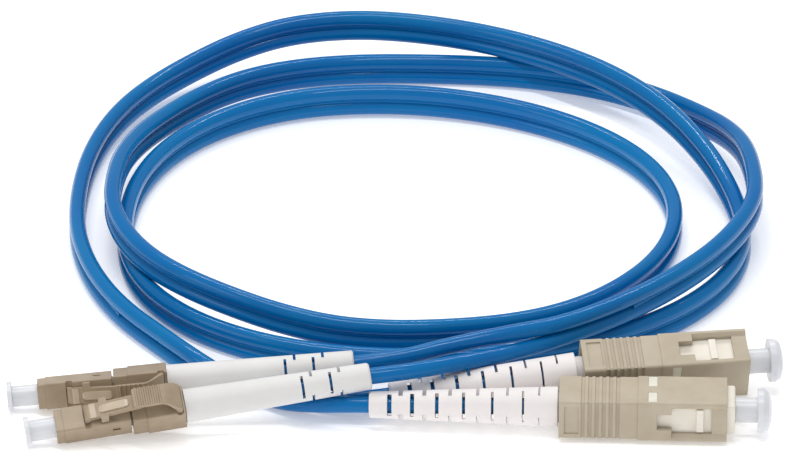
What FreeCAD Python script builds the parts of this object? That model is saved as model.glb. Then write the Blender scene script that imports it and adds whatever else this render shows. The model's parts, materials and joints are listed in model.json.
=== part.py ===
import FreeCAD, Part
import math
import os
import Sketcher

# A duplex fibre patch cord, in millimetres. Two SC plugs lie at the right (+X), two LC plugs at the
# left, and one coiled zip cord of two jackets joins them. +Y points away from the plugs' free side
# and +Z is up. The origin is on the table, under the middle of the box around the plugs.

SIZES = {
    # SC plug: the grip sleeve that is pulled to unplug it
    "sleeve_width": 9.0,
    "sleeve_height": 7.4,
    "sleeve_length": 27.7,
    "sleeve_front_length": 14.7,
    "grip_inset": 0.15,
    "sleeve_corner": 0.45,
    "frame_way_width": 7.0,
    "frame_way_height": 5.4,
    "window_start": 2.5,
    "window_length": 6.6,
    "window_height": 4.8,
    "window_notch_length": 2.4,
    "window_notch_height": 2.9,
    "channel_depth": 0.5,
    "channel_bevel": 0.55,
    "grip_groove_first": 17.7,
    "grip_groove_pitch": 1.15,
    "grip_groove_width": 0.6,
    "grip_groove_count": 6,
    "grip_groove_depth": 0.22,
    "mark_setback": 11.5,
    "mark_length": 1.5,
    "mark_width": 3.1,
    "mark_gap": 1.9,
    "mark_depth": 0.2,
    "key_width": 3.0,
    "key_height": 0.7,
    "key_length": 9.5,
    "key_setback": 1.0,
    "sleeve_travel": 1.45,
    "rear_panel_length": 2.4,
    "rear_panel_height": 5.2,
    "rear_panel_depth": 0.2,
    "rear_panel_margin": 0.9,
    # SC plug: what the sleeve holds
    "slide_clearance": 0.1,
    "frame_length": 22.0,
    "frame_bore_radius": 2.35,
    "frame_bore_depth": 8.0,
    "frame_shoulder": 1.2,
    "cam_setback": 5.2,
    "cam_length": 1.15,
    "cam_height": 4.2,
    "cam_rise": 0.5,
    "nose_chamfer": 0.2,
    "sc_ferrule_radius": 1.25,
    "sc_ferrule_reach": 1.9,
    "sc_ferrule_length": 13.0,
    "ferrule_gap": 0.25,
    "sc_flange_radius": 2.05,
    "sc_flange_length": 3.4,
    "sc_spring_radius": 1.6,
    "sc_spring_wire": 0.45,
    "sc_spring_length": 6.0,
    "stop_tube_radius": 1.85,
    "stop_tube_bore": 1.35,
    "stop_tube_length": 8.0,
    "stop_collar_radius": 2.55,
    "stop_collar_length": 1.2,
    "crimp_wall": 0.35,
    "sc_crimp_length": 6.5,
    # strain relief boots
    "sc_boot_length": 31.2,
    "sc_boot_root_radius": 3.35,
    "sc_boot_end_radius": 2.2,
    "sc_boot_neck_radius": 2.6,
    "sc_boot_neck_length": 3.2,
    "sc_boot_pocket_radius": 2.5,
    "sc_boot_pocket_depth": 4.6,
    "boot_slot_bridge": 0.6,
    "boot_slot_count": 12,
    "boot_slot_end_margin": 3.4,
    "boot_slot_root_margin": 3.039,
    "boot_slot_pitch_growth": 0.041,
    "boot_slot_width": 0.75,
    "boot_slot_narrowing": 0.04,
    "boot_rim": 0.25,
    "lc_boot_length": 31.05,
    "lc_boot_root_radius": 2.8,
    "lc_boot_end_radius": 2.25,
    "lc_boot_pocket_depth": 4.8,
    "lc_boot_slot_first": 5.1,
    "lc_boot_slot_pair": 1.6,
    "lc_boot_slot_step": 4.7,
    "lc_boot_slot_width": 0.45,
    # dust caps
    "cap_bore_clearance": 0.04,
    "cap_end_gap": 0.4,
    "sc_cap_radius": 2.1,
    "sc_cap_depth": 5.0,
    "sc_cap_neck": 3.75,
    "sc_cap_knob_radius": 3.65,
    "sc_cap_knob_length": 2.3,
    "sc_cap_dome": 1.3,
    "lc_cap_radius": 1.75,
    "lc_cap_depth": 4.0,
    "lc_cap_neck": 4.3,
    "lc_cap_flange_radius": 2.5,
    "lc_cap_flange_length": 0.8,
    # LC plug
    "lc_width": 4.5,
    "lc_front_length": 12.4,
    "lc_nose_band": 1.3,
    "lc_nose_inset": 0.12,
    "lc_corner": 0.3,
    "lc_bore_radius": 1.95,
    "lc_bore_depth": 4.5,
    "lc_shoulder": 0.9,
    "lc_cavity_radius": 1.3,
    "lc_neck_radius": 1.75,
    "lc_neck_length": 3.0,
    "lc_neck_gap": 0.4,
    "lc_gap": 0.3,
    "lc_ring_width": 5.0,
    "lc_ring_length": 2.4,
    "lc_box_width": 5.3,
    "lc_box_length": 6.4,
    "lc_tail_radius": 1.65,
    "lc_tail_length": 4.2,
    "lc_tail_bore": 0.75,
    "lc_side_hole_setback": 9.3,
    "lc_side_hole_length": 1.2,
    "lc_side_hole_height": 0.6,
    "lc_ferrule_radius": 0.625,
    "lc_ferrule_reach": 1.6,
    "lc_ferrule_length": 8.5,
    "lc_flange_radius": 1.1,
    "lc_flange_length": 2.4,
    "lc_spring_radius": 0.88,
    "lc_spring_wire": 0.26,
    "lc_crimp_length": 4.4,
    # LC latch and the trigger that presses it
    "latch_setback": 5.3,
    "latch_pivot_radius": 0.5,
    "latch_pivot_clearance": 0.06,
    "latch_width": 2.6,
    "latch_thickness": 0.7,
    "latch_length": 9.2,
    "latch_rise": 1.55,
    "latch_ridge_width": 1.3,
    "latch_ridge_height": 0.2,
    "latch_ridge_start": 3.9,
    "latch_ridge_length": 2.4,
    "lug_setback": 2.2,
    "lug_length": 1.6,
    "lug_span": 4.4,
    "trigger_setback": 0.9,
    "trigger_width": 3.4,
    "trigger_thickness": 0.7,
    "trigger_knee": 2.4,
    "trigger_reach": 8.1,
    "trigger_root_width": 4.6,
    "trigger_rise": 2.1,
    "trigger_rib_count": 6,
    "trigger_rib_pitch": 0.85,
    "trigger_rib_width": 0.45,
    "trigger_rib_height": 0.3,
    "latch_play": 0.25,
    # zip cord: two round jackets side by side, standing on edge in the coil
    "jacket_radius": 1.4,
    "jacket_clearance": 0.05,
    # where the four plugs rest
    "sc_front_pull_back": 1.35,
    "sc_front_nose_reach": 56.34,
    "sc_front_nose_side": -6.31,
    "sc_front_turn": -2.0,
    "sc_rear_nose_reach": 58.6,
    "sc_rear_nose_side": 7.4,
    "sc_rear_turn": 6.9,
    "sc_rear_roll": 109.0,
    "sc_rear_boot_advance": 0.6,
    "sc_rear_boot_sag": 4.2,
    "sc_front_boot_sag": 0.5,
    "boot_roll": 30.0,
    "lc_front_nose_reach": -55.75,
    "lc_front_nose_side": -9.6,
    "lc_front_turn": 188.3,
    "lc_front_lift": 5.75,
    "lc_front_roll": -30.0,
    "lc_rear_nose_reach": -59.0,
    "lc_rear_nose_side": 1.25,
    "lc_rear_turn": 183.4,
    "lc_rear_lift": 4.36,
    "lc_rear_roll": -75.0,
}


class Size:
    """A number that keeps the spreadsheet formula it comes from."""

    def __init__(self, number, formula):
        self.number = float(number)
        self.formula = formula

    def __add__(self, other):
        other = as_size(other)
        return Size(self.number + other.number, "(%s + %s)" % (self.formula, other.formula))

    def __radd__(self, other):
        return as_size(other) + self

    def __sub__(self, other):
        other = as_size(other)
        return Size(self.number - other.number, "(%s - %s)" % (self.formula, other.formula))

    def __rsub__(self, other):
        return as_size(other) - self

    def __mul__(self, other):
        other = as_size(other)
        return Size(self.number * other.number, "(%s * %s)" % (self.formula, other.formula))

    def __rmul__(self, other):
        return as_size(other) * self

    def __truediv__(self, other):
        other = as_size(other)
        return Size(self.number / other.number, "(%s / %s)" % (self.formula, other.formula))

    def __neg__(self):
        return Size(-self.number, "(-1 * %s)" % self.formula)


def as_size(value):
    return value if isinstance(value, Size) else Size(value, repr(float(value)))


document = FreeCAD.newDocument("duplex_patch_cord")
sheet = document.addObject("Spreadsheet::Sheet", "Sizes")
size = {}
for row, (alias, number) in enumerate(SIZES.items(), start=1):
    sheet.set("A%d" % row, str(number))
    sheet.setAlias("A%d" % row, alias)
    size[alias] = Size(number, "Sizes.%s" % alias)
document.recompute()

sub_parts = []
SPRING_STEPS = 10
WIRE_SIDES = 6
SC_SPRING_TURNS = 5
LC_SPRING_TURNS = 6
FERRULE_BEVEL = 0.3
SAME_PLACE = 0.001
ALONG_AXIS = 0.999
CORNER_REACH = 0.4
CAP_SHOULDER_DROP = 0.35
CAP_SHOULDER_WIDTH = 0.85
CAP_CROWN_WIDTH = 0.45
LATCH_ROOT_OVERLAP = 0.7
RIB_MARGIN = 0.1


# ---------------------------------------------------------------- drawing aids

def new_body(label, placement):
    body = document.addObject("PartDesign::Body", label)
    body.Label = label
    body.Placement = placement
    sub_parts.append(body)
    return body


def origin_feature(body, role):
    return next(item for item in body.Origin.OriginFeatures if item.Role == role)


def new_sketch(body, plane, offset):
    sketch = body.newObject("Sketcher::SketchObject", "sketch")
    sketch.AttachmentSupport = (origin_feature(body, plane), [""])
    sketch.MapMode = "FlatFace"
    sketch.setExpression("AttachmentOffset.Base.z", as_size(offset).formula)
    return sketch


def hold(sketch, kind, geometry, end, value):
    """Ties one end of a line to its distance from the sketch's origin."""
    value = as_size(value)
    index = sketch.addConstraint(Sketcher.Constraint(kind, -1, 1, geometry, end, value.number))
    sketch.setExpression("Constraints[%d]" % index, value.formula)


def draw_outline(sketch, corners):
    """Adds a closed outline of straight sides, each corner tied to its sizes."""
    first = sketch.GeometryCount
    count = len(corners)
    spots = [FreeCAD.Vector(as_size(a).number, as_size(b).number, 0) for a, b in corners]
    for index in range(count):
        sketch.addGeometry(Part.LineSegment(spots[index], spots[(index + 1) % count]))
    for index in range(count):
        following = first + (index + 1) % count
        sketch.addConstraint(Sketcher.Constraint("Coincident", first + index, 2, following, 1))
    for index, (across, along) in enumerate(corners):
        hold(sketch, "DistanceX", first + index, 1, across)
        hold(sketch, "DistanceY", first + index, 1, along)


def rectangle(left, right, low, high):
    return [(left, low), (right, low), (right, high), (left, high)]


def centred(width, height):
    return rectangle(-width / 2, width / 2, -height / 2, height / 2)


def add_feature(body, kind, sketch, length, **settings):
    feature = body.newObject("PartDesign::" + kind, kind.lower())
    feature.Profile = sketch
    feature.setExpression("Length", as_size(length).formula)
    for name, value in settings.items():
        setattr(feature, name, value)
    sketch.Visibility = False
    return feature


def block(body, front, back, *outlines):
    """Adds material between two distances along the plug's axis."""
    sketch = new_sketch(body, "YZ_Plane", back)
    for corners in outlines:
        draw_outline(sketch, corners)
    return add_feature(body, "Pad", sketch, front - back)


def cut_along(body, front, back, *outlines):
    """Cuts outlines between two distances along the plug's axis."""
    sketch = new_sketch(body, "YZ_Plane", front)
    for corners in outlines:
        draw_outline(sketch, corners)
    return add_feature(body, "Pocket", sketch, front - back)


def draw_circle(sketch, across, along, radius):
    """Adds a circle tied to its middle and its radius."""
    across, along = as_size(across), as_size(along)
    circle = sketch.addGeometry(Part.Circle(
        FreeCAD.Vector(across.number, along.number, 0), FreeCAD.Vector(0, 0, 1), radius.number))
    hold(sketch, "DistanceX", circle, 3, across)
    hold(sketch, "DistanceY", circle, 3, along)
    index = sketch.addConstraint(Sketcher.Constraint("Radius", circle, radius.number))
    sketch.setExpression("Constraints[%d]" % index, radius.formula)


def bore(body, front, back, radius):
    """Cuts a round hole between two distances along the plug's axis."""
    sketch = new_sketch(body, "YZ_Plane", front)
    draw_circle(sketch, 0, 0, radius)
    return add_feature(body, "Pocket", sketch, front - back)


def round_block(body, front, back, radius):
    """Adds a round stub between two distances along the plug's axis."""
    sketch = new_sketch(body, "YZ_Plane", back)
    draw_circle(sketch, 0, 0, radius)
    return add_feature(body, "Pad", sketch, front - back)


def through_sides(body, corners, width):
    """Cuts an outline drawn on the side view right through the piece."""
    sketch = new_sketch(body, "XZ_Plane", 0)
    draw_outline(sketch, corners)
    return add_feature(body, "Pocket", sketch, width, Midplane=True)


def side_plate(body, corners, width):
    """Adds an outline drawn on the side view as a plate of the given width."""
    sketch = new_sketch(body, "XZ_Plane", 0)
    draw_outline(sketch, corners)
    return add_feature(body, "Pad", sketch, width, Midplane=True)


def turned(label, placement, profile):
    """A piece turned about the plug's axis from a profile of (reach, radius) corners."""
    body = new_body(label, placement)
    sketch = new_sketch(body, "XZ_Plane", 0)
    draw_outline(sketch, profile)
    revolution = body.newObject("PartDesign::Revolution", "revolution")
    revolution.Profile = sketch
    revolution.ReferenceAxis = (sketch, ["H_Axis"])
    revolution.Angle = 360
    return body


def long_edges(shape, least):
    """Names the straight edges along the plug's axis that are outside the given distance from it."""
    names = []
    for index, edge in enumerate(shape.Edges, start=1):
        middle = edge.CenterOfMass
        straight = isinstance(edge.Curve, Part.Line) \
            and abs(edge.tangentAt(edge.FirstParameter).x) > ALONG_AXIS
        if straight and min(abs(middle.y), abs(middle.z)) > least:
            names.append("Edge%d" % index)
    return names


def round_corners(body, radius, least):
    document.recompute()
    base = body.Tip
    fillet = body.newObject("PartDesign::Fillet", "fillet")
    fillet.Base = (base, long_edges(base.Shape, least))
    fillet.setExpression("Radius", radius.formula)
    document.recompute()
    return fillet


def shifted(placement, reach):
    return placement.multiply(FreeCAD.Placement(FreeCAD.Vector(reach, 0, 0), FreeCAD.Rotation()))


# ---------------------------------------------------------------- SC plug

def sc_sleeve(label, placement):
    """The sliding grip sleeve: window, marks, key and ribbed grip."""
    width, height = size["sleeve_width"], size["sleeve_height"]
    inset = size["grip_inset"]
    back = -size["sleeve_length"]
    step = -size["sleeve_front_length"]
    body = new_body(label, placement)
    block(body, as_size(0), step, centred(width, height))
    block(body, step, back, centred(width - inset * 2, height - inset * 2))
    round_corners(body, size["sleeve_corner"], height.number / 2 - inset.number * 1.5)
    cut_along(body, as_size(0), back, centred(size["frame_way_width"], size["frame_way_height"]))

    # the latch window, with its notch towards the grip, on both narrow sides
    front = -size["window_start"]
    rear = front - size["window_length"]
    notch = rear - size["window_notch_length"]
    tall = size["window_height"] / 2
    low = size["window_notch_height"] / 2
    through_sides(body, [(front, -tall), (front, tall), (rear, tall), (rear, low),
                         (notch, low), (notch, -low), (rear, -low), (rear, -tall)], width * 2)

    # a shallow channel with bevelled flanks runs from the window to the front edge
    inner = width / 2 - size["channel_depth"]
    wide = tall + size["channel_bevel"]
    cut_along(body, as_size(0), rear,
              [(inner, -tall), (width / 2, -wide), (width, -wide),
                (width, wide), (width / 2, wide), (inner, tall)],
              [(-inner, -tall), (-inner, tall), (-width / 2, wide), (-width, wide), (-width, -wide),
               (-width / 2, -wide)])

    # the recessed panel at the back of each narrow side
    panel = width / 2 - inset - size["rear_panel_depth"]
    half = size["rear_panel_height"] / 2
    panel_back = back + size["rear_panel_margin"]
    cut_along(body, panel_back + size["rear_panel_length"], panel_back,
              rectangle(panel, width, -half, half), rectangle(-width, -panel, -half, half))

    # two painted marks lie in shallow recesses on the face away from the key
    marks = new_sketch(body, "XY_Plane", height / 2)
    mark_front = -size["mark_setback"]
    near = size["mark_gap"] / 2
    for side in (1, -1):
        edge, far = near * side, (near + size["mark_width"]) * side
        draw_outline(marks, rectangle(mark_front - size["mark_length"], mark_front, edge, far))
    add_feature(body, "Pocket", marks, size["mark_depth"])

    # the key rib under the front half
    key = new_sketch(body, "XY_Plane", -height / 2)
    key_front = -size["key_setback"]
    half = size["key_width"] / 2
    draw_outline(key, rectangle(key_front - size["key_length"], key_front, -half, half))
    add_feature(body, "Pad", key, size["key_height"], Reversed=True)

    # grip grooves run all the way round, one ring cut repeated along the sleeve
    depth = size["grip_groove_depth"] + inset
    first = -size["grip_groove_first"]
    groove = cut_along(body, first, first - size["grip_groove_width"],
                       centred(width + depth * 2, height + depth * 2),
                       centred(width - depth * 2, height - depth * 2))
    pattern = body.newObject("PartDesign::LinearPattern", "pattern")
    pattern.Originals = [groove]
    pattern.Direction = (origin_feature(body, "X_Axis"), [""])
    pattern.Reversed = True
    count = size["grip_groove_count"]
    pattern.setExpression("Occurrences", count.formula)
    pattern.setExpression("Length", (size["grip_groove_pitch"] * (count - 1)).formula)
    body.Tip = pattern
    return body


def sc_plug_frame(label, placement):
    """The inner frame that carries the ferrule and latches in the adapter."""
    width = size["frame_way_width"] - size["slide_clearance"] * 2
    height = size["frame_way_height"] - size["slide_clearance"] * 2
    body = new_body(label, placement)
    back = -size["frame_length"]
    block(body, as_size(0), back, centred(width, height))
    cam_front = -size["cam_setback"]
    half = size["cam_height"] / 2
    outer = width / 2 + size["cam_rise"]
    block(body, cam_front, cam_front - size["cam_length"], rectangle(-outer, outer, -half, half))
    bore_end = -size["frame_bore_depth"]
    shoulder = bore_end - size["frame_shoulder"]
    bore(body, as_size(0), bore_end, size["frame_bore_radius"])
    bore(body, bore_end, shoulder, size["sc_ferrule_radius"] + size["ferrule_gap"])
    bore(body, shoulder, back, size["sc_flange_radius"] + size["ferrule_gap"] / 2)
    document.recompute()
    base = body.Tip
    edges = ["Edge%d" % number for number, edge in enumerate(base.Shape.Edges, start=1)
             if isinstance(edge.Curve, Part.Line) and max(abs(spot.X) for spot in edge.Vertexes) < SAME_PLACE]
    chamfer = body.newObject("PartDesign::Chamfer", "chamfer")
    chamfer.Base = (base, edges)
    chamfer.setExpression("Size", size["nose_chamfer"].formula)
    return body


def ferrule(label, placement, reach, length, radius):
    """The ceramic ferrule, with a bevelled tip."""
    bevel = radius * FERRULE_BEVEL
    return turned(label, placement, [
        (reach - length, 0), (reach - length, radius), (reach - bevel, radius),
        (reach, radius - bevel), (reach, 0)])


def flange(label, placement, front, length, radius, bore_radius):
    """The metal holder pressed on the back of the ferrule."""
    return turned(label, placement, [
        (front, bore_radius), (front, radius), (front - length, radius), (front - length, bore_radius)])


def spring(label, placement, front, back, radius, wire, turns):
    """A compression spring between the ferrule's flange and its seat, drawn with six-sided wire."""
    steps = turns * SPRING_STEPS
    reach = wire.number / 2
    rise = (front.number - back.number - wire.number) / steps
    sections = []
    for step in range(steps + 1):
        angle = 2 * math.pi * step / SPRING_STEPS
        out = FreeCAD.Vector(0, math.cos(angle), math.sin(angle))
        along = FreeCAD.Vector(1, 0, 0)
        middle = out * radius.number + along * (back.number + reach + rise * step)
        sides = [2 * math.pi * side / WIRE_SIDES for side in range(WIRE_SIDES + 1)]
        corners = [middle + (out * math.cos(side) + along * math.sin(side)) * reach for side in sides]
        sections.append(Part.makePolygon(corners))
    piece = document.addObject("Part::Feature", label)
    piece.Label = label
    piece.Shape = Part.makeLoft(sections, True, True)
    piece.Placement = placement
    sub_parts.append(piece)
    return piece


def sc_plug(name, placement, pull_back, boot_placement):
    """All the pieces of one SC plug. Its axis is X and its nose face is at zero."""
    shoulder = -(size["frame_bore_depth"] + size["frame_shoulder"])
    flange_back = shoulder - size["sc_flange_length"]
    frame_back = -size["frame_length"]
    sc_sleeve(name + "_grip_sleeve", shifted(placement, -pull_back.number))
    sc_plug_frame(name + "_plug_frame", placement)
    ferrule(name + "_ferrule", placement, size["sc_ferrule_reach"],
            size["sc_ferrule_length"], size["sc_ferrule_radius"])
    flange(name + "_ferrule_flange", placement, shoulder, size["sc_flange_length"],
           size["sc_flange_radius"], size["sc_ferrule_radius"])
    spring_back = flange_back - size["sc_spring_length"]
    spring(name + "_spring", placement, flange_back, spring_back,
           size["sc_spring_radius"], size["sc_spring_wire"], SC_SPRING_TURNS)

    # the stop tube seats the spring in the frame and carries the crimp ring behind it
    tube = size["stop_tube_radius"]
    hole = size["stop_tube_bore"]
    tail = frame_back - size["stop_tube_length"]
    collar = size["stop_collar_radius"]
    turned(name + "_stop_tube", placement, [
        (spring_back, hole), (spring_back, tube), (frame_back, tube), (frame_back, collar),
        (frame_back - size["stop_collar_length"], collar),
        (frame_back - size["stop_collar_length"], tube), (tail, tube), (tail, hole)])
    ring = tube + size["crimp_wall"]
    ring_front = tail + size["sc_crimp_length"]
    turned(name + "_crimp_ring", placement, [
        (ring_front, tube), (ring_front, ring), (tail, ring), (tail, tube)])

    sc_boot(name + "_boot", boot_placement)
    jacket_end(name + "_jacket_end", boot_placement, -size["sc_boot_pocket_depth"], -size["sc_boot_length"])
    sc_cap(name + "_dust_cap", placement)


def jacket_end(label, placement, front, back):
    """The end of the cord's jacket, held in the boot."""
    radius = size["jacket_radius"]
    return turned(label, placement, [(front, 0), (front, radius), (back, radius), (back, 0)])


def sc_boot_setback():
    """How far behind the nose the boot's root is: clear of the sleeve, wherever the sleeve slides."""
    return size["sleeve_length"] + size["sleeve_travel"] + size["slide_clearance"]


def sc_boot(label, placement):
    """The long tapered boot, its root at zero, cut by slots in alternate rings so that it bends."""
    end = -size["sc_boot_length"]
    neck = size["sc_boot_neck_length"]
    pocket = -size["sc_boot_pocket_depth"]
    wide = size["sc_boot_pocket_radius"]
    thin = size["sc_boot_end_radius"]
    hole = size["jacket_radius"] + size["jacket_clearance"]
    rim = size["boot_rim"]
    body = turned(label, placement, [
        (neck, wide), (neck, size["sc_boot_neck_radius"]), (0, size["sc_boot_neck_radius"]),
        (0, size["sc_boot_root_radius"]), (end + rim, thin), (end, thin - rim), (end, hole),
        (pocket, hole), (pocket, wide)])
    taper = (size["sc_boot_root_radius"] - thin) / size["sc_boot_length"]
    last = int(size["boot_slot_count"].number) - 1
    slotted = size["sc_boot_length"] - size["boot_slot_end_margin"] - size["boot_slot_root_margin"]
    pitch = (slotted - size["boot_slot_pitch_growth"] * last * last) / last
    for ring in range(last + 1):
        spot = size["boot_slot_end_margin"] + pitch * ring + size["boot_slot_pitch_growth"] * ring * ring
        width = size["boot_slot_width"] - size["boot_slot_narrowing"] * ring
        boot_slot(body, end + spot, width, thin + taper * spot, ring % 2 == 1)
    return body


def boot_slot(body, spot, width, radius, upright):
    """A slot right through the boot, which leaves two thin bridges at the rim."""
    half = radius - size["boot_slot_bridge"]
    reach = radius * 2
    if upright:
        cut_along(body, spot + width / 2, spot - width / 2, rectangle(-half, half, -reach, reach))
    else:
        cut_along(body, spot + width / 2, spot - width / 2, rectangle(-reach, reach, -half, half))


def sc_cap(label, placement):
    """The dust cap: a tube over the ferrule with a domed knob."""
    tube = size["sc_cap_radius"]
    knob = size["sc_cap_knob_radius"]
    neck = size["sc_cap_neck"]
    top = neck + size["sc_cap_knob_length"]
    dome = size["sc_cap_dome"]
    hole = size["sc_ferrule_radius"] + size["cap_bore_clearance"]
    bottom = size["sc_ferrule_reach"] + size["cap_end_gap"]
    return turned(label, placement, [
        (-size["sc_cap_depth"], hole), (-size["sc_cap_depth"], tube), (neck, tube), (neck, knob),
        (top - dome, knob), (top - dome * CAP_SHOULDER_DROP, knob * CAP_SHOULDER_WIDTH),
        (top, knob * CAP_CROWN_WIDTH), (top, 0),
        (bottom, 0), (bottom, hole)])


# ---------------------------------------------------------------- LC plug

def lc_neck_front():
    return -(size["lc_front_length"] - size["lc_neck_length"])


def lc_front_housing(label, placement):
    """The square front of the plug, with the seat of the latch on top."""
    width = size["lc_width"]
    nose_width = width - size["lc_nose_inset"] * 2
    band = -size["lc_nose_band"]
    back = -size["lc_front_length"]
    body = new_body(label, placement)
    block(body, as_size(0), band, centred(nose_width, nose_width))
    block(body, band, back, centred(width, width))
    round_corners(body, size["lc_corner"], width.number * CORNER_REACH)
    bore_end = -size["lc_bore_depth"]
    shoulder = bore_end - size["lc_shoulder"]
    cavity_end = lc_neck_front() + size["lc_neck_gap"]
    bore(body, as_size(0), bore_end, size["lc_bore_radius"])
    bore(body, bore_end, shoulder, size["lc_ferrule_radius"] + size["ferrule_gap"])
    bore(body, shoulder, cavity_end, size["lc_cavity_radius"])
    bore(body, cavity_end, back, size["lc_neck_radius"] + size["slide_clearance"] / 2)
    hole = -size["lc_side_hole_setback"]
    half = size["lc_side_hole_height"] / 2
    through_sides(body, rectangle(hole - size["lc_side_hole_length"], hole, -half, half), width * 2)
    pivot_seat(body, -size["latch_setback"], width / 2, width * 2)
    return body


def pivot_seat(body, reach, rise, width):
    """A half-round seat across the top for a latch or trigger root."""
    sketch = new_sketch(body, "XZ_Plane", 0)
    draw_circle(sketch, reach, rise, size["latch_pivot_radius"] + size["latch_pivot_clearance"])
    return add_feature(body, "Pocket", sketch, width, Midplane=True)


def pivot_root(body, reach, rise, width):
    """The round root of a latch or trigger."""
    sketch = new_sketch(body, "XZ_Plane", 0)
    draw_circle(sketch, reach, rise, size["latch_pivot_radius"])
    return add_feature(body, "Pad", sketch, width, Midplane=True)


def latch_underside():
    """Height of the latch's lower face at its root and at its free tip."""
    root = size["lc_width"] / 2 + size["latch_play"]
    return root, root + size["latch_rise"]


def lc_latch(label, placement):
    """The sprung latch arm with its two lugs."""
    body = new_body(label, placement)
    root = -size["latch_setback"]
    tip = root - size["latch_length"]
    low, high = latch_underside()
    thick = size["latch_thickness"]
    width = size["latch_width"]
    pivot_root(body, root, size["lc_width"] / 2, width)
    side_plate(body, [(root + size["latch_pivot_radius"] * LATCH_ROOT_OVERLAP, low), (root, low + thick),
                      (tip, high + thick), (tip, high)], width)
    slope = size["latch_rise"] / size["latch_length"]
    lug_front = root - size["lug_setback"]
    lug_back = lug_front - size["lug_length"]
    rise_front = low + slope * size["lug_setback"]
    rise_back = rise_front + slope * size["lug_length"]
    side_plate(body, [(lug_front, rise_front), (lug_front, rise_front + thick),
                      (lug_back, rise_back + thick), (lug_back, rise_back)], size["lug_span"])
    ridge = size["latch_ridge_start"]
    ridge_end = ridge + size["latch_ridge_length"]
    top = low + thick + slope * ridge
    top_end = low + thick + slope * ridge_end
    crest = size["latch_ridge_height"]
    side_plate(body, [(root - ridge, top - thick / 2), (root - ridge, top + crest),
                      (root - ridge_end, top_end + crest), (root - ridge_end, top_end - thick / 2)],
               size["latch_ridge_width"])
    return body


def lc_box_front():
    return -(size["lc_front_length"] + size["lc_gap"] + size["lc_ring_length"])


def lc_box_back():
    return lc_box_front() - size["lc_box_length"]


def lc_rear_housing(label, placement):
    """The back of the plug: a neck in the front housing, a collar, a box and a tail tube."""
    ring_front = -(size["lc_front_length"] + size["lc_gap"])
    box_front = lc_box_front()
    box_back = lc_box_back()
    neck_front = lc_neck_front()
    tail = box_back - size["lc_tail_length"]
    body = new_body(label, placement)
    block(body, ring_front, box_front, centred(size["lc_ring_width"], size["lc_ring_width"]))
    block(body, box_front, box_back, centred(size["lc_box_width"], size["lc_box_width"]))
    round_corners(body, size["lc_corner"], size["lc_ring_width"].number * CORNER_REACH)
    for front, back, radius in ((neck_front, ring_front, size["lc_neck_radius"]),
                                (box_back, tail, size["lc_tail_radius"])):
        round_block(body, front, back, radius)
    bore(body, neck_front, box_front, size["lc_cavity_radius"])
    bore(body, box_front, tail, size["lc_tail_bore"])
    pivot_seat(body, box_back + size["trigger_setback"], size["lc_box_width"] / 2, size["lc_box_width"] * 2)
    return body


def lc_trigger(label, placement):
    """The bent trigger over the latch tip, with ribs for the thumb."""
    body = new_body(label, placement)
    root = lc_box_back() + size["trigger_setback"]
    face = size["lc_box_width"] / 2
    thick = size["trigger_thickness"]
    low = face + size["latch_play"]
    knee = root + size["trigger_knee"]
    tip = root + size["trigger_reach"]
    high = low + size["trigger_rise"]
    width = size["trigger_width"]
    pivot_root(body, root, face, size["trigger_root_width"])
    heel = root - size["latch_pivot_radius"]
    crown = high + thick
    side_plate(body, [(heel, low), (root + thick / 2, low), (knee, high), (knee, crown),
                      (knee - thick / 2, crown), (heel, low + thick)], size["trigger_root_width"])
    side_plate(body, [(knee - thick / 2, high), (tip, high), (tip, crown), (knee - thick / 2, crown)], width)
    rib_front = tip - size["trigger_rib_pitch"] * RIB_MARGIN
    rib_crest = rib_front - size["trigger_rib_width"] / 2
    top = high + thick
    rib = side_plate(body, [(rib_front, top - thick / 2), (rib_front, top),
                            (rib_crest, top + size["trigger_rib_height"]),
                            (rib_crest - size["trigger_rib_width"] / 2, top),
                            (rib_crest - size["trigger_rib_width"] / 2, top - thick / 2)], width)
    pattern = body.newObject("PartDesign::LinearPattern", "pattern")
    pattern.Originals = [rib]
    pattern.Direction = (origin_feature(body, "X_Axis"), [""])
    pattern.Reversed = True
    pattern.setExpression("Occurrences", size["trigger_rib_count"].formula)
    pattern.setExpression("Length", (size["trigger_rib_pitch"] * (size["trigger_rib_count"] - 1)).formula)
    body.Tip = pattern
    return body


def lc_boot(label, placement):
    """The smooth tapered boot, its root at zero, slotted near its end."""
    end = -size["lc_boot_length"]
    pocket = -size["lc_boot_pocket_depth"]
    thin = size["lc_boot_end_radius"]
    wide = size["lc_tail_radius"] + size["crimp_wall"] + size["slide_clearance"]
    hole = size["jacket_radius"] + size["jacket_clearance"]
    rim = size["boot_rim"]
    body = turned(label, placement, [
        (0, wide), (0, size["lc_boot_root_radius"]), (end + rim, thin), (end, thin - rim), (end, hole),
        (pocket, hole), (pocket, wide)])
    taper = (size["lc_boot_root_radius"] - thin) / size["lc_boot_length"]
    for pair in (0, 1):
        for second in (False, True):
            spot = size["lc_boot_slot_first"] + size["lc_boot_slot_step"] * pair
            if second:
                spot = spot + size["lc_boot_slot_pair"]
            boot_slot(body, end + spot, size["lc_boot_slot_width"], thin + taper * spot, not second)
    return body


def lc_cap(label, placement):
    """The dust cap: a plain tube over the ferrule with a thin flange."""
    tube = size["lc_cap_radius"]
    neck = size["lc_cap_neck"]
    top = neck + size["lc_cap_flange_length"]
    hole = size["lc_ferrule_radius"] + size["cap_bore_clearance"]
    bottom = size["lc_ferrule_reach"] + size["cap_end_gap"]
    return turned(label, placement, [
        (-size["lc_cap_depth"], hole), (-size["lc_cap_depth"], tube), (neck, tube),
        (neck, size["lc_cap_flange_radius"]), (top, size["lc_cap_flange_radius"]), (top, 0),
        (bottom, 0), (bottom, hole)])


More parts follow.
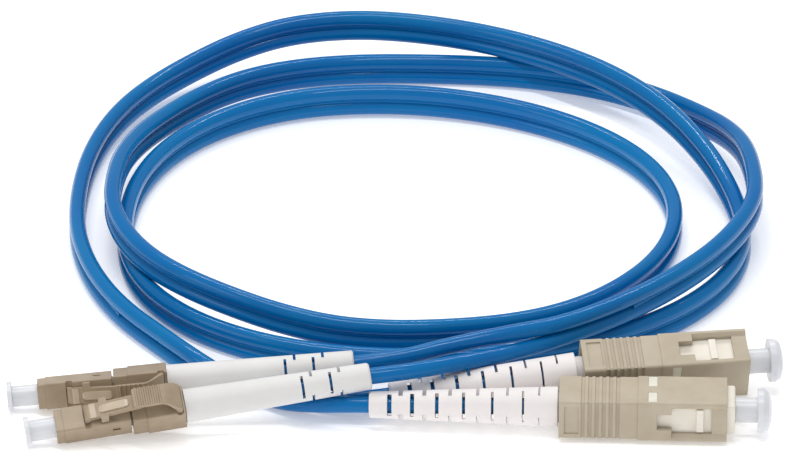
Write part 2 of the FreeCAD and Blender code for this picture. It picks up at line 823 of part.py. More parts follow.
def lc_plug(name, placement, boot_placement):
    """All the pieces of one LC plug. Its axis is X and its nose face is at zero."""
    shoulder = -(size["lc_bore_depth"] + size["lc_shoulder"])
    flange_back = shoulder - size["lc_flange_length"]
    box_back = lc_box_back()
    lc_front_housing(name + "_front_housing", placement)
    lc_latch(name + "_latch", placement)
    lc_rear_housing(name + "_rear_housing", placement)
    lc_trigger(name + "_trigger", placement)
    ferrule(name + "_ferrule", placement, size["lc_ferrule_reach"],
            size["lc_ferrule_length"], size["lc_ferrule_radius"])
    flange(name + "_ferrule_flange", placement, shoulder, size["lc_flange_length"],
           size["lc_flange_radius"], size["lc_ferrule_radius"])
    spring(name + "_spring", placement, flange_back, lc_box_front(),
           size["lc_spring_radius"], size["lc_spring_wire"], LC_SPRING_TURNS)
    tube = size["lc_tail_radius"]
    ring = tube + size["crimp_wall"]
    tail = box_back - size["lc_tail_length"]
    ring_front = tail + size["lc_crimp_length"] - size["crimp_wall"]
    turned(name + "_crimp_ring", placement, [
        (ring_front, tube), (ring_front, ring), (tail, ring), (tail, tube)])
    lc_boot(name + "_boot", boot_placement)
    jacket_end(name + "_jacket_end", boot_placement, -size["lc_boot_pocket_depth"], -size["lc_boot_length"])
    lc_cap(name + "_dust_cap", placement)


# ---------------------------------------------------------------- zip cord

# The coil's turns, from the LC plugs to the SC plugs. Each row is an outermost point of the cord
# (reach, side, height of the middle), then two facts of the quarter turn that follows it: how full
# it is (2 is an ellipse) and the height half-way along it.
COIL_TURNS = [
    (-5.0, 1.0, 8.6, 1.55, 8.6),
    (61.8, 62.2, 8.6, 2.5, 3.3),
    (-0.4, 113.5, 2.8, 2.0, 4.4),
    (-48.4, 57.0, 8.6, 2.0, 8.0),
    (-1.0, 16.7, 5.0, 2.0, 3.2),
    (47.9, 60.0, 2.8, 2.0, 2.8),
    (-3.0, 101.2, 2.8, 2.0, 2.8),
    (-46.2, 54.0, 2.8, 2.2, 2.8),
    (5.0, 11.0, 2.8, 2.0, 2.8),
    (60.0, 54.0, 2.8, 1.73, 8.6),
    (-12.0, 119.8, 7.2, 2.1, 3.6),
    (-54.6, 60.0, 2.8, 1.95, 2.8),
    (-3.0, 0.6, 2.8, 2.0, 2.8),
]
QUARTER_STEPS = 8
COIL_START = 0.37
COIL_END = 0.52
END_GAP = 0.06
ARC_REACH = 0.45


def eased(first, last, share):
    """A height that leaves one level gently and reaches the next one gently."""
    return first + (last - first) * (1 - math.cos(share * math.pi)) / 2


def quarter_point(quarter, share):
    """A point of the coil's middle line, part of the way round one quarter turn."""
    x0, y0, z0, fullness, z_half = COIL_TURNS[quarter]
    x1, y1, z1 = COIL_TURNS[quarter + 1][:3]
    leaving = math.sin(share * math.pi / 2) ** (2 / fullness)
    staying = math.cos(share * math.pi / 2) ** (2 / fullness)
    if share < 0.5:
        height = eased(z0, z_half, share * 2)
    else:
        height = eased(z_half, z1, share * 2 - 1)
    if quarter % 2 == 0:
        return FreeCAD.Vector(x0 + (x1 - x0) * leaving, y1 + (y0 - y1) * staying, height)
    return FreeCAD.Vector(x1 + (x0 - x1) * staying, y0 + (y1 - y0) * leaving, height)


def coil_line():
    """The middle line of the coiled cord, from the LC leads to the SC leads."""
    quarters = len(COIL_TURNS) - 1
    shares = [index / QUARTER_STEPS for index in range(quarters * QUARTER_STEPS + 1)]
    last = quarters - 1 + COIL_END
    shares = [share for share in shares if COIL_START + END_GAP < share < last - END_GAP]
    shares = [COIL_START] + shares + [last]
    return [quarter_point(int(share), share - int(share)) for share in shares]


def coil_piece(label):
    """The coiled cord as one closed ribbon that stands on edge, with both jackets stacked."""
    line = coil_line()
    half = size["jacket_radius"].number
    sections = []
    for index, middle in enumerate(line):
        before = line[max(index - 1, 0)]
        after = line[min(index + 1, len(line) - 1)]
        ahead = after - before
        aside = FreeCAD.Vector(-ahead.y, ahead.x, 0).normalize() * half
        up = FreeCAD.Vector(0, 0, half * 2)
        sections.append(Part.makePolygon([middle - aside - up, middle + aside - up, middle + aside + up,
                                          middle - aside + up, middle - aside - up]))
    piece = document.addObject("Part::Feature", label)
    piece.Label = label
    piece.Shape = Part.makeLoft(sections, True, True)
    sub_parts.append(piece)
    return piece


def lead_piece(label, route):
    """One jacket between a boot and the coil: straight runs joined by tangent arcs."""
    spots = [FreeCAD.Vector(*spot) for spot in route]
    edges = []
    start = spots[0]
    radii = []
    for index in range(1, len(spots) - 1):
        corner = spots[index]
        back = spots[index - 1] - corner
        ahead = spots[index + 1] - corner
        reach = ARC_REACH * min(back.Length, ahead.Length)
        turn = math.pi - back.getAngle(ahead)
        radii.append(reach / math.tan(turn / 2))
        inward = FreeCAD.Vector(back).normalize() * reach + corner
        outward = FreeCAD.Vector(ahead).normalize() * reach + corner
        bisector = (inward + outward) * 0.5 - corner
        middle_gap = radii[-1] * (1 / math.cos(turn / 2) - 1)
        middle = corner + bisector.normalize() * middle_gap
        edges.append(Part.LineSegment(start, inward).toShape())
        edges.append(Part.Arc(inward, middle, outward).toShape())
        start = outward
    edges.append(Part.LineSegment(start, spots[-1]).toShape())
    path = Part.Wire(edges)
    radius = size["jacket_radius"].number
    section = Part.Wire([Part.makeCircle(radius, spots[0], spots[1] - spots[0])])
    tube = path.makePipeShell([section], True, True)
    area = math.pi * radius ** 2
    print(label, "length %.1f" % path.Length, "radii", [round(value, 1) for value in radii],
          "volume ratio %.4f" % (tube.Volume / (area * path.Length)))
    piece = document.addObject("Part::Feature", label)
    piece.Label = label
    piece.Shape = tube
    sub_parts.append(piece)
    return piece


# The four jackets between the boots and the coil, each from its boot's end to the coil's end face.
LEADS = {
    "lc_front_lead": [(-3.91, -2.04, 8.33), (3.2, -1.0, 9.05), (10.6, 2.4, 8.3),
                      (19.39, 8.55, 7.2), (25.82, 13.64, 7.2)],
    "lc_rear_lead": [(-6.59, 4.36, 6.88), (1.2, 4.82, 7.48), (9.5, 6.7, 10.4),
                     (19.39, 8.55, 10.0), (25.82, 13.64, 10.0)],
    "sc_front_lead": [(-4.07, -4.2, 4.13), (-8.02, -4.06, 4.09), (-12.08, -3.12, 3.43),
                      (-18.41, 0.18, 1.83), (-23.74, 4.34, 1.21), (-31.96, 9.15, 4.2),
                      (-37.98, 17.05, 4.2)],
    "sc_rear_lead": [(-0.73, 0.22, 3.16), (-4.58, -0.25, 2.87), (-9.31, 0.13, 2.21),
                     (-15.9, 2.24, 1.52), (-23.34, 7.75, 1.42), (-31.66, 10.83, 1.42),
                     (-35.4, 13.66, 1.4), (-37.98, 17.05, 1.4)],
}


# ---------------------------------------------------------------- the whole cord

def resting(reach, side, height, turn, lift, roll):
    """Where a plug lies: its nose, then its turn about Z, its lift and its roll about its own axis."""
    return FreeCAD.Placement(FreeCAD.Vector(reach.number, side.number, height),
                             FreeCAD.Rotation(turn.number, lift, roll))


def lc_nose_height(roll, lift):
    """Height of an LC plug's nose when its housing or its dust cap's flange is on the table."""
    width = size["lc_width"].number
    cap_top = size["lc_cap_neck"].number + size["lc_cap_flange_length"].number
    tilt = math.radians(lift)
    housing = lowest_corner(width, width, roll) * math.cos(tilt)
    cap = size["lc_cap_flange_radius"].number * math.cos(tilt) + cap_top * math.sin(tilt)
    return max(housing, cap)


def lowest_corner(width, height, roll):
    """How far below its axis a rolled rectangular housing reaches."""
    angle = math.radians(roll)
    return abs(width / 2 * math.sin(angle)) + abs(height / 2 * math.cos(angle))


def boot_place(plug_place, setback, turn, lift, roll):
    """Where a boot is pushed on behind its plug, with a turn, lift and roll of its own."""
    root = plug_place.multVec(FreeCAD.Vector(-setback, 0, 0))
    return FreeCAD.Placement(root, FreeCAD.Rotation(turn, lift, roll))


def number(alias):
    return size[alias].number


sc_front_at = resting(size["sc_front_nose_reach"], size["sc_front_nose_side"],
                      number("sleeve_height") / 2 + number("key_height"), size["sc_front_turn"], 0, 0)
sc_rear_at = resting(size["sc_rear_nose_reach"], size["sc_rear_nose_side"],
                     lowest_corner(number("sleeve_width"), number("sleeve_height"), number("sc_rear_roll")),
                     size["sc_rear_turn"], 0, number("sc_rear_roll"))
lc_front_at = resting(size["lc_front_nose_reach"], size["lc_front_nose_side"],
                      lc_nose_height(number("lc_front_roll"), number("lc_front_lift")),
                      size["lc_front_turn"], number("lc_front_lift"), number("lc_front_roll"))
lc_rear_at = resting(size["lc_rear_nose_reach"], size["lc_rear_nose_side"],
                     lc_nose_height(number("lc_rear_roll"), number("lc_rear_lift")),
                     size["lc_rear_turn"], number("lc_rear_lift"), number("lc_rear_roll"))

sc_setback = sc_boot_setback().number
lc_setback = number("slide_clearance") - lc_box_back().number
boot_roll = number("boot_roll")
boots = {
    "sc_front": boot_place(sc_front_at, sc_setback, number("sc_front_turn"),
                           -number("sc_front_boot_sag"), -boot_roll),
    "sc_rear": boot_place(sc_rear_at, sc_setback - number("sc_rear_boot_advance"),
                          number("sc_rear_turn"), -number("sc_rear_boot_sag"), -boot_roll),
    "lc_front": boot_place(lc_front_at, lc_setback,
                           number("lc_front_turn"), number("lc_front_lift"), boot_roll),
    "lc_rear": boot_place(lc_rear_at, lc_setback,
                          number("lc_rear_turn"), number("lc_rear_lift"), boot_roll),
}
sc_plug("sc_front", sc_front_at, size["sc_front_pull_back"], boots["sc_front"])
sc_plug("sc_rear", sc_rear_at, as_size(0), boots["sc_rear"])
lc_plug("lc_front", lc_front_at, boots["lc_front"])
lc_plug("lc_rear", lc_rear_at, boots["lc_rear"])

coil_piece("coil")
for lead, route in LEADS.items():
    lead_piece(lead, route)

document.recompute()
failed = [item.Name for item in document.Objects
          if "Invalid" in item.State or "Error" in item.State]
if failed:
    raise RuntimeError("features that failed: " + ", ".join(failed))
for piece in sub_parts:
    if piece.Shape.isNull() or not piece.Shape.isValid():
        raise RuntimeError("sub-part without a sound shape: " + piece.Label)
os.makedirs("parts", exist_ok=True)
for piece in sub_parts:
    piece.Shape.exportStep("parts/%s.step" % piece.Label)
print(len(sub_parts), "sub-parts")
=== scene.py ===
import json
import math
import bmesh
import bpy
from mathutils import Matrix, Vector


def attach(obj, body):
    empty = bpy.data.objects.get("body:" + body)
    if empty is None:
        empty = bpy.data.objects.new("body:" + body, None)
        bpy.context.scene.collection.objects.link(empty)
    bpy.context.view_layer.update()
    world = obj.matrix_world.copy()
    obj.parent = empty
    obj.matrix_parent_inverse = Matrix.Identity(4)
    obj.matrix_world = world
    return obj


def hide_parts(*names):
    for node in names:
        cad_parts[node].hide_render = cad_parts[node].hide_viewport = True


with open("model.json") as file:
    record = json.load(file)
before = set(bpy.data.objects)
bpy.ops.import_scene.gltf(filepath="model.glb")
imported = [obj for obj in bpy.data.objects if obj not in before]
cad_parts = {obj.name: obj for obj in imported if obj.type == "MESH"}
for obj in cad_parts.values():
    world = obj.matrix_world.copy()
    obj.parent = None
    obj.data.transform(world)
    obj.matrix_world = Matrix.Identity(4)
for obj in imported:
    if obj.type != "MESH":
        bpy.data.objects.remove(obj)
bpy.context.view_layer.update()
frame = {"nodes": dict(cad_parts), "record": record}
nodes = frame["nodes"]
scene = bpy.context.scene
scene.view_settings.view_transform = "Standard"

# ---- Camera: thirty degrees above the table, far away with a long lens, so that the plugs and the far
# side of the coil have nearly the same scale.
aim = Vector((0.00103, 0.062, 0.0))
distance = 1.5
elevation = math.radians(30)
camera_data = bpy.data.cameras.new("camera")
camera = bpy.data.objects.new("camera", camera_data)
scene.collection.objects.link(camera)
camera_data.sensor_width = 36
camera_data.lens = 392.2
camera_data.clip_end = 10
camera.location = aim + distance * Vector((0, -math.cos(elevation), math.sin(elevation)))
camera.rotation_euler = (math.pi / 2 - elevation, 0, 0)
scene.camera = camera

# ---- Floor and light: a plain white table in a white room, with two long narrow lamps overhead that
# draw a thin line of light along each jacket, and a weaker square one from the viewer's left.
white = (1, 1, 1, 1)
bpy.ops.mesh.primitive_plane_add(size=3, location=(0, 0.06, 0))
floor = bpy.context.object
floor.name = "floor"
paper = bpy.data.materials.new("floor_paper")
paper.use_nodes = True
for socket, value in (("Base Color", (0.95, 0.95, 0.955, 1)), ("Emission Color", white),
                      ("Emission Strength", 0.3), ("Roughness", 0.9), ("Specular IOR Level", 0.1)):
    paper.node_tree.nodes["Principled BSDF"].inputs[socket].default_value = value
floor.data.materials.append(paper)
for name, place, width, depth, power in (("lamp_rear", (0.05, 0.7, 0.95), 0.9, 0.02, 4.4),
                                         ("lamp_front", (-0.1, -0.1, 1.1), 0.8, 0.02, 4.4),
                                         ("lamp_left", (-0.9, -0.4, 0.5), 0.5, 0.5, 1.6)):
    lamp = bpy.data.lights.new(name, "AREA")
    lamp.shape = "RECTANGLE"
    lamp.size = width
    lamp.size_y = depth
    lamp.energy = power
    light = bpy.data.objects.new(name, lamp)
    light.location = place
    light.rotation_euler = (aim - light.location).to_track_quat("-Z", "Y").to_euler()
    scene.collection.objects.link(light)
world = bpy.data.worlds.new("studio")
world.use_nodes = True
world.node_tree.nodes["Background"].inputs["Color"].default_value = white
world.node_tree.nodes["Background"].inputs["Strength"].default_value = 0.53
scene.world = world


# ---- Blue jacket: extruded glossy PVC. The colour drifts slightly from place to place along the cord,
# and a fine grain breaks the gloss.
def finish(name, tone, shade, drift, grain, rough, relief, stretch=(1, 1, 1), edge=0.0, **sockets):
    """One surface: two tones that drift into each other, with a grain in its gloss and its relief.

    The drift and the grain say how fine each pattern is. The relief's depth and the rounding of the
    edges are in metres.
    """
    shade_end, tone_start = 0.32, 0.68
    relief_strength = 0.6
    material = bpy.data.materials.new(name)
    material.use_nodes = True
    tree = material.node_tree
    shader = tree.nodes["Principled BSDF"]
    place = tree.nodes.new("ShaderNodeTexCoord")
    mapping = tree.nodes.new("ShaderNodeMapping")
    mapping.inputs["Scale"].default_value = stretch
    tree.links.new(place.outputs["Object"], mapping.inputs["Vector"])
    broad = tree.nodes.new("ShaderNodeTexNoise")
    broad.inputs["Scale"].default_value = drift
    broad.inputs["Detail"].default_value = 3
    fine = tree.nodes.new("ShaderNodeTexNoise")
    fine.inputs["Scale"].default_value = grain
    fine.inputs["Detail"].default_value = 4
    for texture in (broad, fine):
        tree.links.new(mapping.outputs["Vector"], texture.inputs["Vector"])
    tones = tree.nodes.new("ShaderNodeValToRGB")
    tones.color_ramp.elements[0].position = shade_end
    tones.color_ramp.elements[0].color = (*shade, 1)
    tones.color_ramp.elements[1].position = tone_start
    tones.color_ramp.elements[1].color = (*tone, 1)
    tree.links.new(broad.outputs["Fac"], tones.inputs["Fac"])
    tree.links.new(tones.outputs["Color"], shader.inputs["Base Color"])
    gloss = tree.nodes.new("ShaderNodeMapRange")
    gloss.inputs["To Min"].default_value = rough[0]
    gloss.inputs["To Max"].default_value = rough[1]
    tree.links.new(fine.outputs["Fac"], gloss.inputs["Value"])
    tree.links.new(gloss.outputs["Result"], shader.inputs["Roughness"])
    bump = tree.nodes.new("ShaderNodeBump")
    bump.inputs["Strength"].default_value = relief_strength
    bump.inputs["Distance"].default_value = relief
    tree.links.new(fine.outputs["Fac"], bump.inputs["Height"])
    tree.links.new(bump.outputs["Normal"], shader.inputs["Normal"])
    if edge:
        bevel = tree.nodes.new("ShaderNodeBevel")
        bevel.samples = 4
        bevel.inputs["Radius"].default_value = edge
        tree.links.new(bevel.outputs["Normal"], bump.inputs["Normal"])
    for socket, value in sockets.items():
        shader.inputs[socket.replace("_", " ")].default_value = value
    return material


jacket = finish("blue_jacket", tone=(0.0, 0.165, 0.42), shade=(0.002, 0.13, 0.40), drift=40, grain=2600,
                rough=(0.11, 0.19), relief=0.000005, Specular_IOR_Level=0.22)

# ---- The two jackets: round cords that leave the LC boots, stand one on the other through three
# loose turns, and end in the SC boots. Each turn is worked out from its four outermost points.
mm_per_metre = 1000
# Each outermost point: its place and its height in mm, how full the quarter turn that leaves it is, and
# the height half way along that quarter.
coil_turns = [
    (-5.0, 1.0, 8.6, 1.7, 8.6),
    (62.2, 59.0, 8.6, 2.45, 3.3),
    (-0.4, 113.0, 2.8, 2.1, 4.4),
    (-48.4, 57.0, 8.6, 2.0, 8.0),
    (-1.0, 16.7, 5.0, 2.0, 3.2),
    (48.4, 60.0, 2.8, 2.0, 2.8),
    (-3.0, 101.2, 3.2, 2.24, 2.9),
    (-46.2, 54.0, 2.8, 2.2, 2.8),
    (5.0, 11.0, 2.8, 2.05, 2.8),
    (60.0, 54.0, 2.8, 1.8, 8.6),
    (-7.5, 119.7, 8.0, 2.27, 3.6),
    (-54.6, 60.0, 2.8, 1.95, 2.8),
    (-3.0, 0.6, 2.8, 2.0, 2.8),
]
# The coil starts part of the way round its first quarter and ends part of the way round its last one,
# and none of its steps comes nearer to an end than the gap.
coil_start, coil_end = 0.37, 0.52
quarter_steps = 8
end_gap = 0.06
jacket_radius = 1.4


def eased(first, last, share):
    """A height that leaves one level gently and reaches the next one gently."""
    return first + (last - first) * (1 - math.cos(share * math.pi)) / 2


def quarter_point(quarter, share):
    """A point of the coil's middle line, part of the way round one quarter turn."""
    x0, y0, z0, fullness, z_half = coil_turns[quarter]
    x1, y1, z1 = coil_turns[quarter + 1][:3]
    leaving = math.sin(share * math.pi / 2) ** (2 / fullness)
    staying = math.cos(share * math.pi / 2) ** (2 / fullness)
    if share < 0.5:
        height = eased(z0, z_half, share * 2)
    else:
        height = eased(z_half, z1, share * 2 - 1)
    from_front_or_back = quarter % 2 == 0
    if from_front_or_back:
        return Vector((x0 + (x1 - x0) * leaving, y1 + (y0 - y1) * staying, height))
    return Vector((x1 + (x0 - x1) * staying, y0 + (y1 - y0) * leaving, height))


quarters = len(coil_turns) - 1
last_share = quarters - 1 + coil_end
shares = [index / quarter_steps for index in range(quarters * quarter_steps + 1)]
shares = [share for share in shares if coil_start + end_gap < share < last_share - end_gap]
shares = [coil_start] + shares + [last_share]
middle_line = [quarter_point(int(share), share - int(share)) for share in shares]
# The leads, from an LC boot to the coil or from the coil to an SC boot, point by point in mm.
leads = {
    "lc_front": [(-3.91, -2.04, 8.33), (2.6, -1.1, 8.6), (10.6, 2.2, 8.3), (19.39, 6.9, 7.4)],
    "lc_rear": [(-6.59, 4.36, 6.88), (1.2, 4.9, 7.6), (9.5, 6.5, 9.2), (19.39, 9.1, 10.0)],
    "sc_front": [(-31.96, 9.26, 4.2), (-23.74, 4.34, 1.3), (-18.41, 0.18, 1.83), (-12.08, -3.12, 3.43),
                 (-8.02, -4.06, 4.09), (-4.07, -4.2, 4.13)],
    "sc_rear": [(-35.4, 13.66, 1.42), (-31.66, 10.83, 1.42), (-23.34, 7.75, 1.42), (-15.9, 2.24, 1.52),
                (-9.31, 0.13, 2.21), (-4.58, -0.25, 2.87), (-0.73, 0.22, 3.16)],
}


def drawn_path(name, route):
    """A smooth curve that follows the route's points."""
    curve = bpy.data.curves.new(name, "CURVE")
    curve.dimensions = "3D"
    curve.resolution_u = 8
    spline = curve.splines.new("NURBS")
    spline.points.add(len(route) - 1)
    for point, spot in zip(spline.points, route):
        point.co = (*(value / mm_per_metre for value in spot), 1)
    spline.order_u = 3
    spline.use_endpoint_u = True
    path = bpy.data.objects.new(name, curve)
    scene.collection.objects.link(path)
    return path


for name, lc_plug, sc_plug, side, coil in (("lower_jacket", "lc_front", "sc_rear", -1, ("coil",)),
                                           ("upper_jacket", "lc_rear", "sc_front", 1, ())):
    turns = [tuple(spot + Vector((0, 0, side * jacket_radius))) for spot in middle_line]
    route = leads[lc_plug] + turns + leads[sc_plug]
    cord = drawn_path(name, route)
    cord.data.bevel_depth = jacket_radius / mm_per_metre
    cord.data.bevel_resolution = 6
    cord.data.materials.append(jacket)
    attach(cord, "cord")
    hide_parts(lc_plug + "_lead", sc_plug + "_lead", *coil)


# ---- Web of the zip cord: the thin strip of the same PVC that joins the two jackets all along the
# coil. It fills the crease between them, and its section is swept along the coil's middle line.
def plain_mesh(owner, name):
    """Turns what the modifiers make into an ordinary mesh object, and removes the one they were on."""
    bpy.context.view_layer.update()
    made = bpy.data.meshes.new_from_object(owner.evaluated_get(bpy.context.evaluated_depsgraph_get()))
    bpy.data.objects.remove(owner)
    made.name = name
    piece = bpy.data.objects.new(name, made)
    scene.collection.objects.link(piece)
    return piece


def swept_strip(name, material):
    """A node tree that sweeps a rectangle along a curve and keeps it level."""
    tree = bpy.data.node_groups.new(name, "GeometryNodeTree")
    tree.interface.new_socket("Geometry", in_out="INPUT", socket_type="NodeSocketGeometry")
    width = tree.interface.new_socket("Width", in_out="INPUT", socket_type="NodeSocketFloat")
    height = tree.interface.new_socket("Height", in_out="INPUT", socket_type="NodeSocketFloat")
    tree.interface.new_socket("Geometry", in_out="OUTPUT", socket_type="NodeSocketGeometry")
    source = tree.nodes.new("NodeGroupInput")
    section = tree.nodes.new("GeometryNodeCurvePrimitiveQuadrilateral")
    level = tree.nodes.new("GeometryNodeSetCurveNormal")
    level.mode = "Z_UP"
    sweep = tree.nodes.new("GeometryNodeCurveToMesh")
    sweep.inputs["Fill Caps"].default_value = True
    real = tree.nodes.new("GeometryNodeRealizeInstances")
    painted = tree.nodes.new("GeometryNodeSetMaterial")
    painted.inputs["Material"].default_value = material
    result = tree.nodes.new("NodeGroupOutput")
    tree.links.new(source.outputs["Width"], section.inputs["Width"])
    tree.links.new(source.outputs["Height"], section.inputs["Height"])
    tree.links.new(source.outputs["Geometry"], level.inputs["Curve"])
    tree.links.new(level.outputs["Curve"], sweep.inputs["Curve"])
    tree.links.new(section.outputs["Curve"], sweep.inputs["Profile Curve"])
    tree.links.new(sweep.outputs["Mesh"], real.inputs["Geometry"])
    tree.links.new(real.outputs["Geometry"], painted.inputs["Geometry"])
    tree.links.new(painted.outputs["Geometry"], result.inputs["Geometry"])
    return tree, width.identifier, height.identifier


web_width, web_height = 1.5, 0.8
web = drawn_path("web_path", [tuple(spot) for spot in middle_line[1:-1]])
strip, width_input, height_input = swept_strip("web_strip", jacket)
sweeping = web.modifiers.new("sweep", "NODES")
sweeping.node_group = strip
sweeping[width_input] = web_width / mm_per_metre
sweeping[height_input] = web_height / mm_per_metre
web = plain_mesh(web, "cord_web")
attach(web, "cord")


# ---- Housings: moulded thermoplastic with a spark-eroded grain. The SC grip sleeves are beige. The LC
# housings, latches and triggers are a darker tan, which is painted shade on the same plastic, with a
# smoother ridge on the latch that is painted lighter as a painted highlight.
def dress(endings, material):
    """Gives a finish to every CAD piece whose name ends in one of the given words."""
    for node, piece in nodes.items():
        if node.endswith(endings):
            for slot in piece.material_slots:
                slot.material = material


dress(("grip_sleeve",), finish("beige_housing", tone=(0.505, 0.44, 0.335), shade=(0.455, 0.39, 0.29),
                               drift=260, grain=5200, rough=(0.36, 0.5), relief=0.000014, edge=0.00012,
                               Specular_IOR_Level=0.4))
# The LC parts' darker tan is painted shade: the sleeves' beige, darkened.
lc_tan_in_painted_shade = finish("lc_tan_in_painted_shade", tone=(0.39, 0.305, 0.212), shade=(0.33, 0.254, 0.17), drift=320,
                     grain=5200, rough=(0.32, 0.46), relief=0.000012, edge=0.00012,
                     Specular_IOR_Level=0.4)
dress(("front_housing", "rear_housing"), lc_tan_in_painted_shade)
# The ridge and root band are painted a lighter tan as a painted highlight; their smoother gloss is real.
glossy_ridge_painted_highlight = finish("glossy_ridge_painted_highlight", tone=(0.56, 0.47, 0.35), shade=(0.49, 0.40, 0.29), drift=500,
                        grain=5200, rough=(0.24, 0.36), relief=0.000006, edge=0.00012)


# ---- LC latches and triggers: sprung arms shot with the housing. The latch springs up from behind the
# nose, with a lug to each side and a raised ridge. The ribbed trigger flares into the housing's back.
def placed_at(plug, turn, lift, roll):
    """Where a plug lies: its nose is the origin, its cord leaves along -X and its latch is on +Z."""
    mounts = frame["record"]["mounts"]
    nose = next(mount["pos_m"] for mount in mounts if mount["name"] == plug + "_interface")
    return (Matrix.Translation(nose) @ Matrix.Rotation(math.radians(turn), 4, "Z")
            @ Matrix.Rotation(math.radians(lift), 4, "Y") @ Matrix.Rotation(math.radians(roll), 4, "X")
            @ Matrix.Scale(1 / mm_per_metre, 4))


def closed_bar(shape, rings):
    """Joins rings of four corners by walls, and closes both ends."""
    rings = [[shape.verts.new(corner) for corner in ring] for ring in rings]
    for near, far in zip(rings, rings[1:]):
        for corner in range(4):
            after = (corner + 1) % 4
            shape.faces.new((near[corner], near[after], far[after], far[corner]))
    shape.faces.new(reversed(rings[0]))
    shape.faces.new(rings[-1])


def placed_piece(name, shape, lie, material):
    """One mesh object from what the shape holds, put where its plug lies."""
    bmesh.ops.transform(shape, matrix=lie, verts=shape.verts)
    bmesh.ops.recalc_face_normals(shape, faces=shape.faces)
    mesh = bpy.data.meshes.new(name)
    shape.to_mesh(mesh)
    shape.free()
    mesh.materials.append(material)
    piece = bpy.data.objects.new(name, mesh)
    scene.collection.objects.link(piece)
    return piece


def moulded(name, bars, lie, material):
    """Bars that grow into one another. A section has its place, floor, top and half width."""
    shape = bmesh.new()
    for stations in bars:
        closed_bar(shape, [((x, -half, low), (x, half, low), (x, half, high), (x, -half, high))
                           for x, low, high, half in stations])
    return placed_piece(name, shape, lie, material)


arm_root, arm_root_height, arm_slope = -5.3, 2.5, 0.1685


def arm_station(x, half, top=0.7, floor=0.0):
    """A section on the latch arm, which climbs steadily from its root to its tip."""
    underside = arm_root_height + (arm_root - x) * arm_slope
    return (x, underside + floor, underside + top, half)


# Places are in mm along the plug from its nose, and floors and tops in mm above its axis.
latch_arm = [(-4.85, 2.2, 2.32, 1.3), (-4.95, 1.95, 2.75, 1.3), (-5.15, 1.85, 3.08, 1.3),
             (-5.45, 1.85, 3.23, 1.3), (-5.6, 2.1, 3.26, 1.3), (-5.75, 2.5, 3.29, 1.3),
             arm_station(-7.45, 1.3), arm_station(-7.6, 2.1), arm_station(-8.75, 2.15),
             arm_station(-8.9, 1.3), arm_station(-14.3, 1.3), arm_station(-14.48, 1.2, 0.55, 0.1)]
latch_ridge = [arm_station(-7.35, 0.3, 0.72, 0.4), arm_station(-7.65, 0.58, 0.92, 0.4),
               arm_station(-8.1, 0.68, 0.98, 0.4), arm_station(-11.8, 0.68, 0.98, 0.4),
               arm_station(-12.2, 0.55, 0.92, 0.4), arm_station(-12.45, 0.3, 0.72, 0.4)]
latch_band = [arm_station(-5.75, 1.3, 0.74, 0.4), arm_station(-5.9, 1.3, 0.84, 0.4),
              arm_station(-6.75, 1.3, 0.84, 0.4), arm_station(-6.9, 1.3, 0.74, 0.4)]
pad_floor, pad_top, pad_half = 5.0, 5.7, 1.7
rib_count, rib_pitch, rib_start = 6, 0.76, -13.53
rib_top, rib_slope, rib_crest = 5.97, 0.14, 0.18
trigger = [(-13.05, 5.12, 5.5, 1.55), (-13.2, pad_floor, 5.68, pad_half)]
for rib in range(rib_count):
    foot = rib_start - rib * rib_pitch
    crest = foot - rib_slope
    trigger += [(foot, pad_floor, pad_top, pad_half),
                (crest, pad_floor, rib_top, pad_half),
                (crest - rib_crest, pad_floor, rib_top, pad_half),
                (crest - rib_crest - rib_slope, pad_floor, pad_top, pad_half)]
trigger += [(-18.0, 4.98, 5.7, 1.72), (-18.5, 4.75, 5.6, 1.8), (-19.0, 4.3, 5.35, 1.93),
            (-19.5, 3.75, 5.0, 2.08), (-19.95, 3.2, 4.6, 2.2), (-20.15, 2.45, 4.4, 2.25),
            (-20.4, 2.2, 4.15, 2.3), (-20.75, 2.2, 3.8, 2.3), (-20.95, 2.4, 3.55, 2.3),
            (-21.08, 2.9, 3.3, 2.28)]
for plug, turn, lift, roll in (("lc_front", 188.3, 5.75, -30.0), ("lc_rear", 183.4, 4.36, -75.0)):
    lie = placed_at(plug, turn, lift, roll)
    for part, bars in (("latch", (latch_arm,)), ("trigger", (trigger,))):
        piece = moulded(plug + "_moulded_" + part, bars, lie, lc_tan_in_painted_shade)
        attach(piece, plug + "_" + part + "_arm")
        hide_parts(plug + "_" + part)
    # The latch's ridge and root band, in the lighter tan of the painted highlight.
    ridges = moulded(plug + "_latch_ridges", (latch_ridge, latch_band), lie, glossy_ridge_painted_highlight)
    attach(ridges, plug + "_latch_arm")

# ---- Position marks: two bars of white paint that nearly fill shallow recesses across each grip
# sleeve, with a bevelled rim.
mark_paint = finish("mark_paint", tone=(0.76, 0.74, 0.64), shade=(0.70, 0.68, 0.58), drift=500,
                    grain=6000, rough=(0.35, 0.5), relief=0.000008)
mark_setback, mark_length, mark_width, mark_gap = 11.5, 1.5, 3.1, 1.9
mark_floor, mark_top, mark_rim = 3.5, 3.67, 0.06
for plug, pull_back, turn, roll in (("sc_front", 1.35, -2.0, 0.0), ("sc_rear", 0.0, 6.9, 109.0)):
    lie = placed_at(plug, turn, 0.0, roll)
    front = -mark_setback - pull_back
    back = front - mark_length
    shape = bmesh.new()
    for side in (-1, 1):
        near, far = side * mark_gap / 2, side * (mark_gap / 2 + mark_width)
        rings = []
        for inset, height in ((0.0, mark_floor), (0.0, mark_top - mark_rim), (mark_rim, mark_top)):
            low, high = min(near, far) + inset, max(near, far) - inset
            rings.append(((back + inset, low, height), (front - inset, low, height),
                          (front - inset, high, height), (back + inset, high, height)))
        closed_bar(shape, rings)
    marks = placed_piece(plug + "_marks", shape, lie, mark_paint)
    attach(marks, plug + "_sleeve")

# ---- SC plug frames: cream glass-filled plastic. The grip sleeves slide on them, and they show in the
# sleeves' windows and at the nose.
dress(("plug_frame",), finish("cream_frame", tone=(0.86, 0.82, 0.73), shade=(0.80, 0.75, 0.65), drift=300,
                              grain=4200, rough=(0.3, 0.42), relief=0.000008, edge=0.0001))

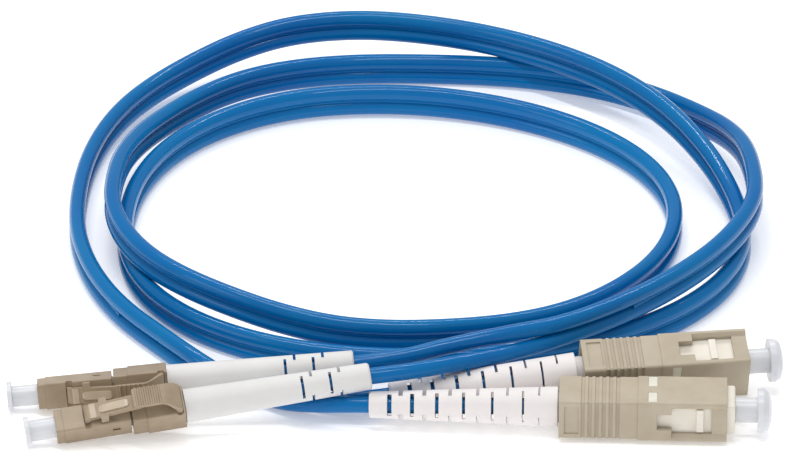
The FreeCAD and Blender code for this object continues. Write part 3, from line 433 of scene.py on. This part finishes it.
# ---- Boots: soft white elastomer, matt, that lets a little light in. The LC boots are a cooler and
# darker white than the SC ones.
for kind, tone, shade in (("sc", (0.84, 0.80, 0.79), (0.79, 0.75, 0.74)),
                          ("lc", (0.755, 0.75, 0.745), (0.71, 0.70, 0.69))):
    for boot in (kind + "_front_boot", kind + "_rear_boot"):
        dress((boot,), finish("white_" + boot, tone=tone, shade=shade, drift=120, grain=3600,
                              rough=(0.45, 0.6), relief=0.000012, edge=0.0001, Specular_IOR_Level=0.3,
                              Subsurface_Weight=0.12, Subsurface_Radius=(1, 0.85, 0.8),
                              Subsurface_Scale=0.0006))

# ---- Dust caps: milky soft polyethylene that lets light through. Each is pushed over a ferrule and
# pulls straight off.
dress(("dust_cap",), finish("cap_plastic", tone=(0.81, 0.82, 0.85), shade=(0.75, 0.76, 0.80), drift=200,
                            grain=3000, rough=(0.24, 0.36), relief=0.000008, edge=0.00015,
                            Transmission_Weight=0.12, Subsurface_Weight=0.3, Subsurface_Scale=0.001,
                            Subsurface_Radius=(0.8, 0.85, 1)))

# ---- Ferrules: polished white zirconia, ground to a fine tolerance and pressed into the metal holders
# behind them.
dress(("ferrule",), finish("ceramic", tone=(0.86, 0.85, 0.81), shade=(0.83, 0.82, 0.78), drift=600,
                           grain=9000, rough=(0.08, 0.16), relief=0.000002, Coat_Weight=0.3))

# ---- Metal inside: nickel-plated holders and stop tubes, brass crimp rings, and springs of drawn
# stainless wire.
dress(("ferrule_flange", "stop_tube"), finish(
    "nickel", tone=(0.64, 0.61, 0.56), shade=(0.52, 0.50, 0.47), drift=700, grain=5000,
    rough=(0.2, 0.38), relief=0.000006, stretch=(8, 1, 1), Metallic=1.0))
dress(("crimp_ring",), finish(
    "brass", tone=(0.72, 0.55, 0.28), shade=(0.60, 0.44, 0.20), drift=500, grain=3500,
    rough=(0.3, 0.5), relief=0.00001, stretch=(6, 1, 1), Metallic=1.0))
dress(("spring",), finish(
    "spring_steel", tone=(0.60, 0.60, 0.61), shade=(0.46, 0.46, 0.48), drift=900, grain=6000,
    rough=(0.22, 0.4), relief=0.000004, Metallic=1.0))

# ---- Jacket ends: the last stretch of each jacket, of the cord's own PVC. It is held inside the boot,
# where the cord enters it.
dress(("jacket_end",), jacket)
